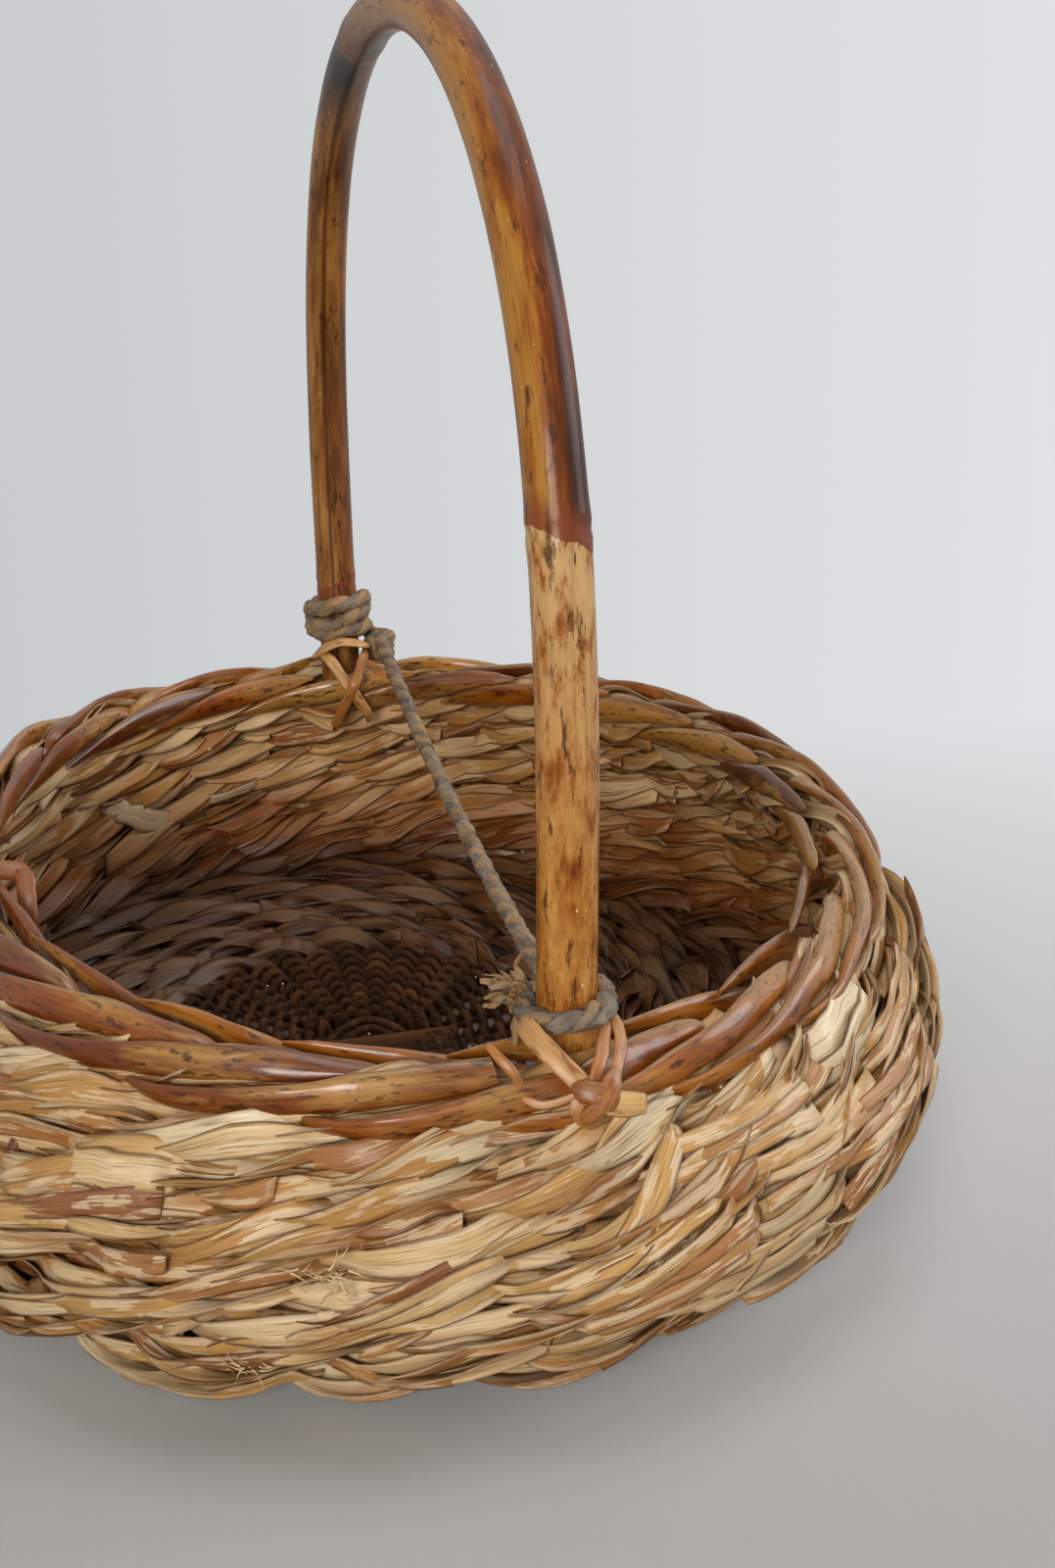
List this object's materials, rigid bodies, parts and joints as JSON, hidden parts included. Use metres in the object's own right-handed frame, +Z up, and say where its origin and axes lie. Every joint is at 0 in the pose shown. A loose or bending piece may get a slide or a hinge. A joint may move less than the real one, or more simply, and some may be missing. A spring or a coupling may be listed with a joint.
{
  "type": "knitting basket",
  "caption": "Oval open-topped basket with a twined straw wall, a border of bent cane stakes, one arched cane handle lashed on at both feet, and a taut cord between the feet.",
  "frame": {"origin": "on the floor under the middle of the basket's widest outline", "axes": "+X along the handle's span, the basket's long way; +Y across it, away from the deeper part of the mouth; +Z up"},
  "size_m": [0.4526, 0.3723, 0.3792],
  "materials": {
    "straw": "dry twisted leaf straw, satin on the outer faces",
    "border_cane": "glossy weathered cane",
    "base_cane": "dull aged cane",
    "handle_cane": "varnished cane",
    "lashing_cane": "satin split cane",
    "paper_cord": "matt twisted paper"
  },
  "bodies": {
    "root": {"stake_01": "border_cane", "stake_02": "border_cane", "stake_03": "border_cane", "stake_04": "border_cane", "stake_05": "border_cane", "stake_06": "border_cane", "stake_07": "border_cane", "stake_08": "border_cane", "stake_09": "border_cane", "stake_10": "border_cane", "stake_11": "border_cane", "stake_12": "border_cane", "stake_13": "border_cane", "stake_14": "border_cane", "stake_15": "border_cane", "stake_16": "border_cane", "stake_17": "border_cane", "stake_18": "border_cane", "stake_19": "border_cane", "stake_20": "border_cane", "wall_round_1_strand_a": "straw", "wall_round_1_strand_b": "straw", "wall_round_2_strand_a": "straw", "wall_round_2_strand_b": "straw", "wall_round_3_strand_a": "straw", "wall_round_3_strand_b": "straw", "wall_round_4_strand_a": "straw", "wall_round_4_strand_b": "straw", "wall_round_5_strand_a": "straw", "wall_round_5_strand_b": "straw", "wall_round_6_strand_a": "straw", "wall_round_6_strand_b": "straw", "wall_round_7_strand_a": "straw", "wall_round_7_strand_b": "straw", "base_weaver_1": "base_cane", "base_weaver_2": "base_cane", "base_weaver_3": "base_cane", "base_hub": "base_cane", "base_weaver_4": "straw", "base_weaver_5": "straw", "base_weaver_6": "straw", "base_weaver_7": "straw", "base_weaver_8": "straw", "base_weaver_9": "straw", "lashing_front_a": "lashing_cane", "lashing_front_b": "lashing_cane", "lashing_back_a": "lashing_cane", "lashing_back_b": "lashing_cane", "cord_winding_front": "paper_cord", "cord_winding_back": "paper_cord", "tie_cord": "paper_cord", "cord_tuft": "paper_cord", "handle": "handle_cane"}
  },
  "joints": []
}
